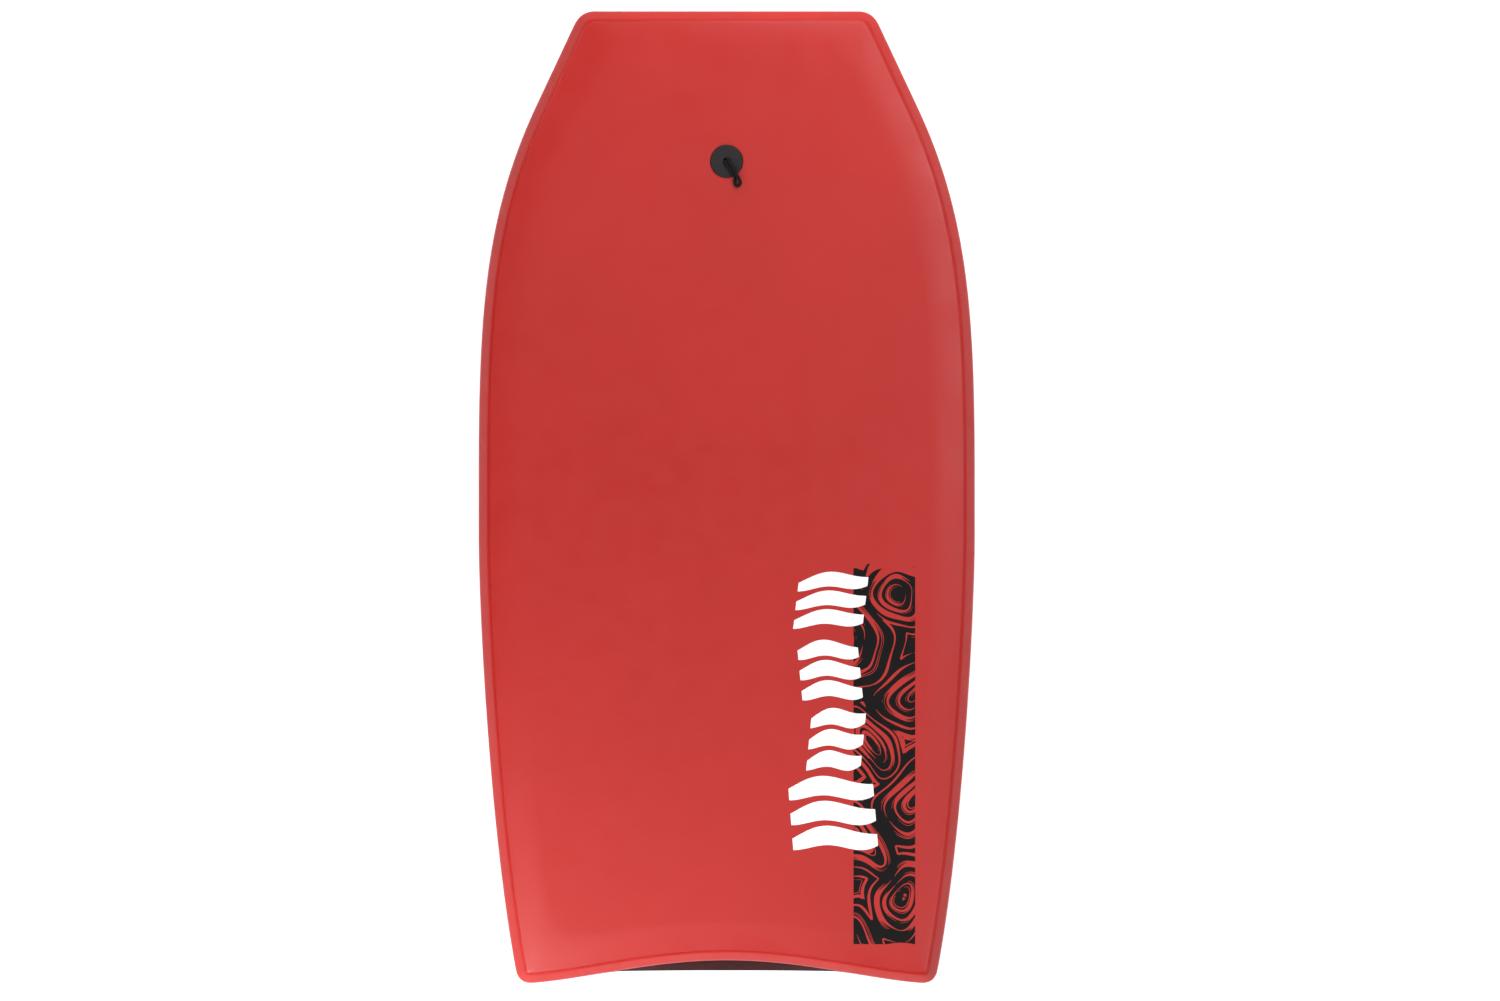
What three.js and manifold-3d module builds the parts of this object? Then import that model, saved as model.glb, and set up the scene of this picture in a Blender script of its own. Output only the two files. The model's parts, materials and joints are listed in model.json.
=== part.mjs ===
// A bodyboard: a foam core with a soft deck skin, foam rail strips with an upper and a lower
// chine, a slick bottom sheet, and a two-part screw plug that holds a cord loop for the leash.
// Millimetres. +Z is up out of the deck, +Y runs to the nose and +X to the right as seen from
// above with the nose up. The board lies on z = 0, and x = y = 0 is the middle of its box.
import * as THREE from "three";
import { mergeVertices } from "three/addons/utils/BufferGeometryUtils.js";
import Module from "manifold-3d";

const wasm = await Module();
wasm.setup();

// Plan of the board at its widest line
const boardLength = 1041.4;
const boardWidth = 533.4;
const noseHalfWidth = 156; // where the nose end and the straight nose sides would meet
const noseSideLean = 0.477; // how far the straight nose sides spread for each millimetre back
const noseSideEnd = 420; // y where the straight nose side turns into the curved side
const widestFrom = 20;
const widestTo = -40;
const tailHalfWidth = 224; // where the tail end and the sides would meet
const tailSideLean = 0.19;
const noseCornerCut = 15; // from each of those corners to where its rounding starts
const tailCornerCut = 14;
const tailScoopDepth = 24.5; // the crescent in the tail, at its middle
const tailScoopHalfSpan = 212;
const tailScoopShape = 1.4; // power of a cosine: 1 has sharp tips, 2 long flat ones
const tailScoopReach = 200; // how far forward the crescent's pull fades out

// Side view
const boardThickness = 57;
const noseThinning = 9; // thickness lost at the nose end
const noseThinningFrom = 300;
const noseRocker = 42; // how far the bottom rises at the nose end
const rockerFrom = 40;

// Section through the rail, as inset from the widest line and height above the bottom
const widestHeight = 34;
const bottomEdgeInset = 10.5;
const deckEdgeInset = 12;
const deckEdgeHeight = 52.3;
const deckRollEnd = 49; // the deck is flat from this inset inward
const bluntInset = 0.9; // the widest edge is blunt: its bevels start this far in
const bluntRise = 4; // and this far above and below
const railDepth = 11.5; // thickness of the rail strips at the widest line
const railTopInset = 20;
const railFootInset = 20;
const skinThickness = 3;
const slickThickness = 0.8;
const gap = 0.3; // glue line between neighbouring pieces
const rollInsets = [railTopInset, 32, deckRollEnd]; // they shape the rolled deck edge
const flatInsets = [100, 160]; // they carry the rocker across the flat of the board

// Leash plug, along its own axis; z = 0 there is the deck's surface
const plugY = 360;
const flangeRadius = 17.4;
const flangeTop = 1.8;
const flangeUnderside = -0.2;
const flangeDome = 0.2; // how far the disc's top falls from its hole to its rim
const flangeRound = 0.5; // rounding of the rim
const cordHoleRadius = 3.9;
const chamberRadius = 6; // the hollow for the knot, inside the deck half's barrel
const chamberTop = -2.6;
const barrelEnd = -27;
const threadTop = -14;
const threadBottom = -26;
const threadPitch = 3;
const threadWave = 0.45; // half the depth of the round thread
const threadRadius = 8.9; // middle of the outer thread
const threadClearance = 0.5;
const threadRelief = 0.5; // length of the step at each end of a thread
const nutRadius = 12.5;
const nutTop = -4;
const nutFloor = 3; // thickness of the closed bottom flange
const axisRadius = 0.01; // stands in for the axis in a turned piece with no hole
const plugSegments = 24;
const sealInnerRadius = 9.8;
const sealOuterRadius = 16.4;
const sealTop = -0.5;
const sealBottom = -1.3;
const seatRadius = 17.8; // round seats sunk into the board for the two flanges
const deckSeatFloor = -1.6;
const clearAway = 5; // how far the cutting cylinders run past a surface
const coinSlot = { length: 22, width: 2.6, depth: 1.4 };

// Leash loop: one cord, doubled through the plug's hole and knotted below it
const cordDiameter = 3.6;
const strandSpacing = 3.8; // between the two strands where they lie side by side
const knotRadius = 4.7;
const knotZ = -7.8;
const loopHingeZ = 3.9;
const loopAzimuth = -54; // degrees from +X, the way the doubled cord leaves the hole

const foamRed = { color: 0xb8322f, roughness: 0.55, metalness: 0 };
const railRed = { color: 0xb02c2a, roughness: 0.6, metalness: 0 };
const darkFoam = { color: 0x3c1e1e, roughness: 0.7, metalness: 0 };
const coreWhite = { color: 0xe9e6df, roughness: 0.9, metalness: 0 };
const slickBlack = { color: 0x1b1b1d, roughness: 0.3, metalness: 0 };
const plugGrey = { color: 0x343232, roughness: 0.5, metalness: 0 };
const sealGrey = { color: 0x55585c, roughness: 0.8, metalness: 0 };
const cordBlack = { color: 0x161415, roughness: 0.85, metalness: 0 };

const halfLength = boardLength / 2;
const halfWidth = boardWidth / 2;

// ---- Plan ----

// Points of the right half, from the middle of the nose end to the middle of the tail end.
// The tail end is straight here: the crescent is pulled into the deck side afterwards.
function rightHalf() {
  const at = (x, y) => new THREE.Vector2(x, y);
  const noseSide = (y) => at(noseHalfWidth + noseSideLean * (halfLength - y), y);
  const tailSide = (y) => at(tailHalfWidth + tailSideLean * (halfLength + y), y);
  const line = (a, b) => new THREE.LineCurve(a, b);
  const corner = (a, b, c) => new THREE.QuadraticBezierCurve(a, b, c);
  const noseStart = at(noseHalfWidth - noseCornerCut, halfLength);
  const noseEnd = noseSide(halfLength - noseCornerCut);
  const sideStart = noseSide(noseSideEnd);
  const widest = at(halfWidth, widestFrom);
  const widestBack = at(halfWidth, widestTo);
  const tailStart = tailSide(tailCornerCut - halfLength);
  const tailEnd = at(tailHalfWidth - tailCornerCut, -halfLength);
  const frontSide = new THREE.CubicBezierCurve(
    sideStart, noseSide(noseSideEnd - 120), at(halfWidth, widestFrom + 170), widest,
  );
  const backSide = new THREE.CubicBezierCurve(
    widestBack, at(halfWidth, widestTo - 80), tailSide(160 - halfLength), tailStart,
  );
  const curves = [
    [line(at(0, halfLength), noseStart), 3],
    [corner(noseStart, at(noseHalfWidth, halfLength), noseEnd), 5],
    [line(noseEnd, sideStart), 3],
    [frontSide, 9],
    [line(widest, widestBack), 1],
    [backSide, 9],
    [corner(tailStart, at(tailHalfWidth, -halfLength), tailEnd), 5],
    [line(tailEnd, at(0, -halfLength)), 8],
  ];
  return curves.flatMap(([curve, steps]) => curve.getPoints(steps).slice(0, -1));
}

// The whole outline, clockwise from the middle of the nose end as seen from above.
function wholeOutline() {
  const right = rightHalf();
  const left = right.slice(1).map((p) => new THREE.Vector2(-p.x, p.y));
  return [...right, new THREE.Vector2(0, -halfLength), ...left.reverse()];
}

const outline = wholeOutline();
const stations = outline.length;

// Each outline point looks inward to a point of this centre line, where all layers close.
const spineFront = 275;
const spineBack = -295;
const spine = outline.map((p) => new THREE.Vector2(0, THREE.MathUtils.clamp(p.y, spineBack, spineFront)));

function distanceToSegment(point, a, b) {
  const along = b.clone().sub(a);
  const share = THREE.MathUtils.clamp(point.clone().sub(a).dot(along) / along.lengthSq(), 0, 1);
  return point.distanceTo(a.clone().addScaledVector(along, share));
}

function distanceToOutline(point) {
  const distances = outline.map((a, i) => distanceToSegment(point, a, outline[(i + 1) % stations]));
  return Math.min(...distances);
}

// Where the line from outline point i to the spine is `inset` inside the outline.
function insetPoint(i, inset) {
  if (inset === Infinity) {
    return spine[i];
  }
  let near = 0;
  let far = 1;
  for (let step = 0; step < 24; step += 1) {
    const middle = (near + far) / 2;
    if (distanceToOutline(outline[i].clone().lerp(spine[i], middle)) < inset) {
      near = middle;
    } else {
      far = middle;
    }
  }
  return outline[i].clone().lerp(spine[i], near);
}

const ringCache = new Map();

function ring(inset) {
  if (!ringCache.has(inset)) {
    ringCache.set(inset, outline.map((_, i) => insetPoint(i, inset)));
  }
  return ringCache.get(inset);
}

// ---- Heights ----

function bottomHeight(y) {
  return noseRocker * (Math.max(0, y - rockerFrom) / (halfLength - rockerFrom)) ** 2;
}

function thicknessShare(y) {
  const share = Math.max(0, y - noseThinningFrom) / (halfLength - noseThinningFrom);
  return 1 - (noseThinning / boardThickness) * share ** 2;
}

// How far the tail's crescent pulls a point forward: fully at and above the widest line, and
// not at all at the bottom, so the tail's end face leans outward below the deck.
function scoopPull(x, y, height) {
  const across = Math.min(1, Math.abs(x) / tailScoopHalfSpan);
  const fade = 1 - THREE.MathUtils.smoothstep(y, -halfLength, tailScoopReach - halfLength);
  const rise = THREE.MathUtils.clamp(height / widestHeight, 0, 1);
  const crescent = Math.cos((Math.PI / 2) * across) ** tailScoopShape;
  return tailScoopDepth * crescent * fade * rise;
}

// A point of the board from its place in plan and its height in the section.
function boardPoint(plan, height) {
  const y = plan.y + scoopPull(plan.x, plan.y, height);
  return new THREE.Vector3(plan.x, y, bottomHeight(y) + height * thicknessShare(y));
}

function deckRoll(inset) {
  const share = Math.min(1, (inset - deckEdgeInset) / (deckRollEnd - deckEdgeInset));
  return deckEdgeHeight + (boardThickness - deckEdgeHeight) * Math.sin((share * Math.PI) / 2);
}

// ---- Meshes ----

function facingOut(geometry) {
  const { position } = geometry.attributes;
  const corners = [new THREE.Vector3(), new THREE.Vector3(), new THREE.Vector3()];
  let volume = 0;
  for (let i = 0; i < geometry.index.count; i += 3) {
    corners.forEach((corner, k) => corner.fromBufferAttribute(position, geometry.index.getX(i + k)));
    volume += corners[0].dot(corners[1].cross(corners[2]));
  }
  if (volume < 0) {
    geometry.setIndex(Array.from(geometry.index.array).reverse());
  }
  return geometry;
}

// A closed mesh of merged points from a list of points and triangles.
function meshOf(points, triangles) {
  const loose = new THREE.BufferGeometry().setFromPoints(points);
  loose.setIndex(triangles.flat());
  const geometry = mergeVertices(loose, 1e-4);
  const index = geometry.index.array;
  const kept = [];
  for (let i = 0; i < index.length; i += 3) {
    const [a, b, c] = index.slice(i, i + 3);
    if (a !== b && b !== c && c !== a) {
      kept.push(a, b, c);
    }
  }
  geometry.setIndex(kept);
  return facingOut(geometry);
}

// Stitches rows, each a closed loop of the same number of points. `ends` says what closes the
// first and the last row: "join" stitches them together, "cap" fills them, "none" means that
// they have already run together to a line or a point.
function stitched(rows, ends, capTriangles = []) {
  const width = rows[0].length;
  const count = rows.length;
  const triangles = [];
  for (let row = 0; row < (ends === "join" ? count : count - 1); row += 1) {
    const here = row * width;
    const next = ((row + 1) % count) * width;
    for (let k = 0; k < width; k += 1) {
      const side = (k + 1) % width;
      triangles.push([here + k, next + k, next + side], [here + k, next + side, here + side]);
    }
  }
  if (ends === "cap") {
    const last = (count - 1) * width;
    capTriangles.forEach(([a, b, c]) => {
      triangles.push([a, b, c], [last + c, last + b, last + a]);
    });
  }
  return meshOf(rows.flat(), triangles);
}

// A layer that covers the whole board. Its section runs from the centre line's upper side out
// to the edge and back along the lower side, as [inset, height] pairs.
function layer(section) {
  return stitched(section.map(([inset, height]) => ring(inset).map((p) => boardPoint(p, height))), "none");
}

// A strip along the outline from one station to another, with a closed [inset, height] section.
// A station may be fractional, and may be negative where the strip crosses the nose's middle.
function strip(section, from, to) {
  const places = [from];
  for (let place = Math.floor(from) + 1; place < to; place += 1) {
    places.push(place);
  }
  places.push(to);
  const wrap = (place) => ((place % stations) + stations) % stations;
  const rows = places.map((place) => section.map(([inset, height]) => {
    const points = ring(inset);
    const first = boardPoint(points[wrap(Math.floor(place))], height);
    const second = boardPoint(points[wrap(Math.floor(place) + 1)], height);
    return first.lerp(second, place - Math.floor(place));
  }));
  const contour = section.map(([inset, height]) => new THREE.Vector2(inset, height));
  if (THREE.ShapeUtils.isClockWise(contour)) {
    contour.forEach((point) => point.setX(-point.x));
  }
  return stitched(rows, "cap", THREE.ShapeUtils.triangulateShape(contour, []));
}

// A turned piece from a closed list of [radius, z, wave] rings about the z axis. A wave makes
// the ring part of a round screw thread.
function turned(rings) {
  return stitched(rings.map(([radius, z, wave = 0]) => {
    const loop = [];
    for (let k = 0; k < plugSegments; k += 1) {
      const angle = (2 * Math.PI * k) / plugSegments;
      const reach = radius + wave * Math.cos((2 * Math.PI * z) / threadPitch - angle);
      loop.push(new THREE.Vector3(reach * Math.cos(angle), reach * Math.sin(angle), z));
    }
    return loop;
  }), "join");
}

// Rings of a screw thread from the top down; the wave fades in and out over the end rings.
function thread(middleRadius) {
  const rows = (6 * (threadTop - threadBottom)) / threadPitch;
  const rings = [];
  for (let row = 0; row <= rows; row += 1) {
    const z = threadTop + (row / rows) * (threadBottom - threadTop);
    rings.push([middleRadius, z, row === 0 || row === rows ? 0 : threadWave]);
  }
  return rings;
}

function manifoldOf(geometry) {
  const bare = geometry.clone().deleteAttribute("normal").deleteAttribute("uv");
  const merged = mergeVertices(bare, 1e-4);
  return new wasm.Manifold(new wasm.Mesh({
    numProp: 3,
    vertProperties: new Float32Array(merged.attributes.position.array),
    triVerts: new Uint32Array(merged.index.array),
  }));
}

function geometryOf(solid) {
  const mesh = solid.getMesh();
  const geometry = new THREE.BufferGeometry();
  geometry.setAttribute("position", new THREE.BufferAttribute(mesh.vertProperties, 3));
  return geometry.setIndex(new THREE.BufferAttribute(mesh.triVerts, 1));
}

function cut(geometry, ...tools) {
  const whole = manifoldOf(geometry);
  return geometryOf(tools.reduce((solid, tool) => solid.subtract(manifoldOf(tool)), whole));
}

function named(name, geometry, look) {
  const mesh = new THREE.Mesh(geometry, new THREE.MeshStandardMaterial(look));
  mesh.name = name;
  return mesh;
}

// ---- Plug frame ----

const plugThickness = boardThickness * thicknessShare(plugY);
const deckRise = (y) => bottomHeight(y) + boardThickness * thicknessShare(y);
const slope = (heightAt) => (heightAt(plugY + 1) - heightAt(plugY - 1)) / 2;
const plugTilt = Math.atan((slope(bottomHeight) + slope(deckRise)) / 2);
const bottomZ = -plugThickness * Math.cos(plugTilt); // the bottom's surface on the plug's axis
const nutUnderside = bottomZ + gap;

const plugFrame = new THREE.Group();
plugFrame.position.set(0, plugY, deckRise(plugY));
plugFrame.rotation.x = plugTilt;
plugFrame.updateMatrixWorld();

// A cylinder about the plug's axis between two heights, in the board's frame.
function plugCylinder(radius, low, high) {
  const cylinder = new THREE.CylinderGeometry(radius, radius, high - low, plugSegments);
  cylinder.rotateX(Math.PI / 2).translate(0, 0, (low + high) / 2);
  return cylinder.applyMatrix4(plugFrame.matrixWorld);
}

// ---- Board ----

const floor = slickThickness + gap; // what the core and the lower strips stand on
const skinUnderside = (inset) => deckRoll(inset) - skinThickness;
const plugBore = plugCylinder(nutRadius + gap, bottomZ - clearAway, clearAway);

// The foam blank, bored for the plug and with a seat for its bottom flange.
function core() {
  const topInsets = [railTopInset + gap, ...rollInsets.slice(1), ...flatInsets, Infinity];
  const section = [
    ...topInsets.toReversed().map((inset) => [inset, skinUnderside(inset) - gap]),
    [railDepth + gap, widestHeight],
    [railFootInset + gap, floor],
    ...[deckRollEnd, ...flatInsets, Infinity].map((inset) => [inset, floor]),
  ];
  return cut(layer(section), plugBore, plugCylinder(seatRadius, bottomZ - clearAway, bottomZ + nutFloor));
}

function deckSkin() {
  const insets = [deckEdgeInset + gap, ...rollInsets, ...flatInsets, Infinity];
  const section = [
    ...insets.toReversed().map((inset) => [inset, deckRoll(inset)]),
    ...insets.map((inset) => [inset, skinUnderside(inset)]),
  ];
  return cut(layer(section), plugBore, plugCylinder(seatRadius, deckSeatFloor, clearAway));
}

function bottomSlick() {
  const insets = [bottomEdgeInset, deckRollEnd, ...flatInsets, Infinity];
  const section = [
    ...insets.toReversed().map((inset) => [inset, slickThickness]),
    ...insets.map((inset) => [inset, 0]),
  ];
  return cut(layer(section), plugCylinder(seatRadius, bottomZ - clearAway, bottomZ + clearAway));
}

// The upper strip: from the widest line up the bevel to the crease, then in under the skin.
const upperRailSection = [
  [0, widestHeight + gap / 2],
  [bluntInset, widestHeight + bluntRise],
  [deckEdgeInset - bluntInset, deckEdgeHeight - 3 * gap],
  [deckEdgeInset, deckEdgeHeight - gap],
  [deckEdgeInset, skinUnderside(deckEdgeInset) - gap],
  [railTopInset, skinUnderside(railTopInset) - gap],
  [railDepth, widestHeight + gap / 2],
];

const lowerRailSection = [
  [bottomEdgeInset + gap, floor],
  [bottomEdgeInset - 2 * bluntInset, floor + 2 * bluntInset],
  [bluntInset, widestHeight - bluntRise],
  [0, widestHeight - gap / 2],
  [railDepth, widestHeight - gap / 2],
  [railFootInset, floor],
];

// The strips meet end to end where the nose and tail pieces wrap round onto the sides.
const noseJoin = 10;
const tailJoin = 28;
const endGap = 0.004; // half of the gap between two ends, as a share of a station's length

const railRuns = {
  right: [noseJoin + endGap, tailJoin - endGap],
  left: [stations - tailJoin + endGap, stations - noseJoin - endGap],
  nose: [endGap - noseJoin, noseJoin - endGap],
  tail: [tailJoin + endGap, stations - tailJoin - endGap],
};

function rails() {
  const pieces = [
    ["upper_rail_right", upperRailSection, railRuns.right, railRed],
    ["upper_rail_left", upperRailSection, railRuns.left, railRed],
    ["nose_bumper", upperRailSection, railRuns.nose, railRed],
    ["tail_bumper", upperRailSection, railRuns.tail, railRed],
    ["lower_rail_right", lowerRailSection, railRuns.right, railRed],
    ["lower_rail_left", lowerRailSection, railRuns.left, railRed],
    ["lower_nose_strip", lowerRailSection, railRuns.nose, railRed],
    ["lower_tail_strip", lowerRailSection, railRuns.tail, darkFoam],
  ];
  return pieces.map(([name, section, [from, to], look]) => named(name, strip(section, from, to), look));
}

// ---- Plug ----

// The deck half: a domed disc with a hole for the cord, on a hollow barrel with an outer thread.
function plugDeckHalf() {
  const root = threadRadius - threadWave;
  const rimTop = flangeTop - flangeDome;
  return turned([
    [cordHoleRadius, flangeTop],
    [flangeRadius - 2 * flangeRound, rimTop],
    [flangeRadius - flangeRound / 2, rimTop - flangeRound / 2],
    [flangeRadius, rimTop - 2 * flangeRound],
    [flangeRadius, flangeUnderside],
    [root + flangeRound, flangeUnderside],
    [root, flangeUnderside - flangeRound],
    [root, threadTop + threadRelief],
    ...thread(threadRadius),
    [root, barrelEnd],
    [chamberRadius, barrelEnd],
    [chamberRadius, chamberTop],
    [cordHoleRadius, chamberTop],
  ]);
}

// The bottom half: a closed flange flush with the bottom, on a barrel with an inner thread.
function plugBottomHalf() {
  const bore = threadRadius + threadClearance + threadWave;
  const cupFloor = nutUnderside + nutFloor;
  const cup = turned([
    [axisRadius, nutUnderside],
    [flangeRadius - flangeRound, nutUnderside],
    [flangeRadius, nutUnderside + flangeRound],
    [flangeRadius, cupFloor - gap],
    [nutRadius, cupFloor - gap],
    [nutRadius, nutTop],
    [bore, nutTop],
    [bore, threadTop + threadRelief],
    ...thread(threadRadius + threadClearance),
    [bore, threadBottom - threadRelief],
    [bore, cupFloor],
    [axisRadius, cupFloor],
  ]);
  const slot = new THREE.BoxGeometry(coinSlot.length, coinSlot.width, 2 * coinSlot.depth);
  return cut(cup, slot.translate(0, 0, nutUnderside));
}

function plugSeal() {
  return turned([
    [sealInnerRadius, sealTop],
    [sealOuterRadius, sealTop],
    [sealOuterRadius, sealBottom],
    [sealInnerRadius, sealBottom],
  ]);
}

// ---- Leash loop ----

// The stopper knot in the plug's chamber and the doubled cord that rises through the hole.
function leashKnot() {
  const stem = new THREE.CylinderGeometry(1, 1, flangeTop - knotZ, 16);
  stem.rotateX(Math.PI / 2).translate(0, 0, (flangeTop + knotZ) / 2);
  stem.scale(cordDiameter / 2, (cordDiameter + strandSpacing) / 2, 1);
  stem.rotateZ(THREE.MathUtils.degToRad(loopAzimuth));
  const knot = new THREE.SphereGeometry(knotRadius, 16, 10).translate(0, 0, knotZ);
  return geometryOf(manifoldOf(knot).add(manifoldOf(stem)));
}

// The cord's route from the hole out to the eye and back, as [along, aside, z]: `along` is
// the way the doubled cord leaves the hole, `aside` is to its left. At the disc's rim one
// strand rides up on the other, and the eye beyond it turns to the tail.
const cordRoute = [
  [0, strandSpacing / 2, loopHingeZ],
  [4, 1.9, 3.9],
  [8, 1.9, 4],
  [11, 1.8, 4.7],
  [13.5, 1.2, 6.1],
  [16, 0.5, 7],
  [18.9, 0.2, 6.8],
  [21.8, 0, 5.3],
  [25, -0.5, 3.4],
  [27.3, -1.9, 2.4],
  [28.4, -3.8, 2.1],
  [27.9, -5.9, 2.1],
  [26, -7, 2.1],
  [24, -6.5, 2.1],
  [21.6, -4.6, 2.4],
  [19.1, -2.5, 3],
  [16, -2.1, 3.8],
  [12, -1.95, 3.9],
  [8, -1.9, 3.9],
  [4, -1.9, 3.9],
  [0, -strandSpacing / 2, loopHingeZ],
];

function leashLoop() {
  const turn = new THREE.Matrix4().makeRotationZ(THREE.MathUtils.degToRad(loopAzimuth));
  const points = cordRoute.map((point) => new THREE.Vector3(...point).applyMatrix4(turn));
  const section = new THREE.Shape();
  section.absarc(0, 0, cordDiameter / 2, 0, 2 * Math.PI);
  const extrudePath = new THREE.CatmullRomCurve3(points);
  return new THREE.ExtrudeGeometry(section, { steps: 40, curveSegments: 4, extrudePath });
}

// ---- Assembly ----

plugFrame.add(
  named("plug_bottom_half", plugBottomHalf(), plugGrey),
  named("plug_seal", plugSeal(), sealGrey),
  named("plug_deck_half", plugDeckHalf(), plugGrey),
  named("leash_knot", leashKnot(), cordBlack),
  named("leash_loop", leashLoop(), cordBlack),
);

const board = new THREE.Group();
board.add(
  named("core", core(), coreWhite),
  named("deck_skin", deckSkin(), foamRed),
  named("bottom_slick", bottomSlick(), slickBlack),
  ...rails(),
  plugFrame,
);

export default board;
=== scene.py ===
"""The looks of a bodyboard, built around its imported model. Metres, in the model's own frame:
+Z up out of the deck, +Y to the nose, and the board lies on z = 0."""

import json
import math

import bmesh
import bpy
import numpy as np
from mathutils import Matrix, Vector
from mathutils.bvhtree import BVHTree
from mathutils.geometry import delaunay_2d_cdt
from mathutils.kdtree import KDTree

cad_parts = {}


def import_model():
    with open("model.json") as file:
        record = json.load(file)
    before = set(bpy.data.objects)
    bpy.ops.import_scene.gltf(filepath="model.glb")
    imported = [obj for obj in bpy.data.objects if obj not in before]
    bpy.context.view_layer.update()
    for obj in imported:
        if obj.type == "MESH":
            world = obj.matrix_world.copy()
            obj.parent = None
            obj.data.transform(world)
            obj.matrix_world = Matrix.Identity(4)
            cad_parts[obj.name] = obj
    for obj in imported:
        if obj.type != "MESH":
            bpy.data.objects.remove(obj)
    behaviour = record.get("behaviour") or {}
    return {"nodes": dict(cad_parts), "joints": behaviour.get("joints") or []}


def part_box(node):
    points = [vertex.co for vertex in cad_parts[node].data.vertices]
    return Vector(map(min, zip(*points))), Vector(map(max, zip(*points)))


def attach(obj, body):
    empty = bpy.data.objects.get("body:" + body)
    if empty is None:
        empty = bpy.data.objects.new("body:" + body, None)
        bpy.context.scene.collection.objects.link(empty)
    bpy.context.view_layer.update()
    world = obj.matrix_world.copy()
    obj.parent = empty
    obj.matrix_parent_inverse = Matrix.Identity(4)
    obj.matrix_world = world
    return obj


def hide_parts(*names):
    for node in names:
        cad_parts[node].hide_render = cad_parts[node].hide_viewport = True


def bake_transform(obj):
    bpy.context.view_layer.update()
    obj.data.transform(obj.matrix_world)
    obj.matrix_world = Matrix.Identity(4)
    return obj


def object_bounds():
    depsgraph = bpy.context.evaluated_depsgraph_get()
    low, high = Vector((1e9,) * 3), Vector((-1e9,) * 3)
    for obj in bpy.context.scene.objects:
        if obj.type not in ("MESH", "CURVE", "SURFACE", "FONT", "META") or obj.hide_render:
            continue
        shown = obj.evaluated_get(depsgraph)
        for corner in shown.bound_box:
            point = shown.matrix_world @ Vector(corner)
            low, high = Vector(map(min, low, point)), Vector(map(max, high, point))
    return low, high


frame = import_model()
cad_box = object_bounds()

# ---- Sizes ----

MILLIMETRES = 1000  # in a metre
HALF_LENGTH = cad_box[1].y
HALF_WIDTH = cad_box[1].x
NOSE_JOIN_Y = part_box("upper_rail_right")[1].y
TAIL_JOIN_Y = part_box("upper_rail_right")[0].y

# Plan of the board at its widest line, as in the model
NOSE_HALF_WIDTH = 0.156
NOSE_LEAN = 0.477
NOSE_SIDE_END = 0.42
WIDEST_FROM = 0.02
WIDEST_TO = -0.04
TAIL_HALF_WIDTH = 0.224
TAIL_LEAN = 0.19
NOSE_CORNER_CUT = 0.015
TAIL_CORNER_CUT = 0.014
# Handles of the side's two curves, measured along the board
NOSE_HANDLE = 0.12  # from the end of the nose's straight side
FRONT_HANDLE = 0.17  # from the widest part
BACK_HANDLE = 0.08
TAIL_HANDLE = 0.16  # from the tail's end
# Crescent in the tail's end, cut in from the deck down to nothing at the underside
SCOOP_DEPTH = 0.0245
SCOOP_HALF_SPAN = 0.212
SCOOP_SHAPE = 1.4
SCOOP_REACH = 0.2

# Side view and section, as in the model
THICKNESS = 0.057
NOSE_THINNING = 0.009
THINNING_FROM = 0.3
ROCKER = 0.042
ROCKER_FROM = 0.04
WIDEST_HEIGHT = 0.034
BOTTOM_EDGE_INSET = 0.0105
DECK_EDGE_INSET = 0.012
DECK_EDGE_HEIGHT = 0.0523
ROLL_END = 0.049
BLUNT_INSET = 0.0008  # the widest edge is blunt: its bevels start this far in
BLUNT_RISE = 0.0042  # and this far above and below
RAIL_DEPTH = 0.0115
RAIL_TOP_INSET = 0.02
SKIN = 0.003
SLICK = 0.0008
HAIRLINE = 0.00008  # glue line between neighbouring foam pieces
SLICK_GAP = 0.00015  # glue line over the slick
HIDDEN_ROUND = 0.0003  # rounding of the foam corners that stay out of sight
BORE_CLEARANCE = 0.0003  # round the plug's bottom half
CLEAR_AWAY = 0.005  # how far cutting tools run past a surface

# Leash plug and cord, in the plug's own frame
FLANGE_RADIUS = 0.0174
FLANGE_TOP = 0.0018
FLANGE_UNDERSIDE = -0.0002
CORD_HOLE_RADIUS = 0.0039
CHAMBER_RADIUS = 0.006
CHAMBER_TOP = -0.0026
BARREL_END = -0.027
THREAD_TOP = -0.014
THREAD_BOTTOM = -0.026
PITCH = 0.003
THREAD_WAVE = 0.00045
THREAD_RADIUS = 0.0089
THREAD_CLEARANCE = 0.0005
NUT_RADIUS = 0.0125
NUT_TOP = -0.004
NUT_FLOOR = 0.003
SEAT_RADIUS = 0.0178
SEAT_DEPTH = 0.0016
COIN_SLOT = (0.022, 0.0026, 0.0014)  # length, width, depth
SEAL_INNER = 0.0098
SEAL_OUTER = 0.0164
SEAL_TOP = -0.0005
SEAL_BOTTOM = -0.0013
CORD_DIAMETER = 0.0036
CORD_AZIMUTH = math.radians(-54)
CORD_BEND = 0.006  # radius of the bend in the plug's hole
BEND_END = 0.0047  # how far past the hole's middle that bend would end
LOOP_START = 0.0048  # where the cord lies flat, past the bend
CORD_HEIGHT = 0.0039  # of the cord's middle over the deck, on the plug's disc
STRAND_SPACING = 0.0038
BRAID_PITCH = 0.0052
BRAID_RELIEF = 0.00023
BRAID_SINK = 0.00017  # how far the braid's middle lies inside the cord's own surface
KNOT_Z = -0.0078
KNOT_REACH = 0.0021  # middle radius of the knot's turns
KNOT_SWING = 0.0012  # how far the turns swing in and out
KNOT_RISE = 0.0017  # how far they pass over and under
KNOT_CORD_RADIUS = 0.00125  # the cord is drawn tight in its knot
KNOT_RELIEF = 0.00008

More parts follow.
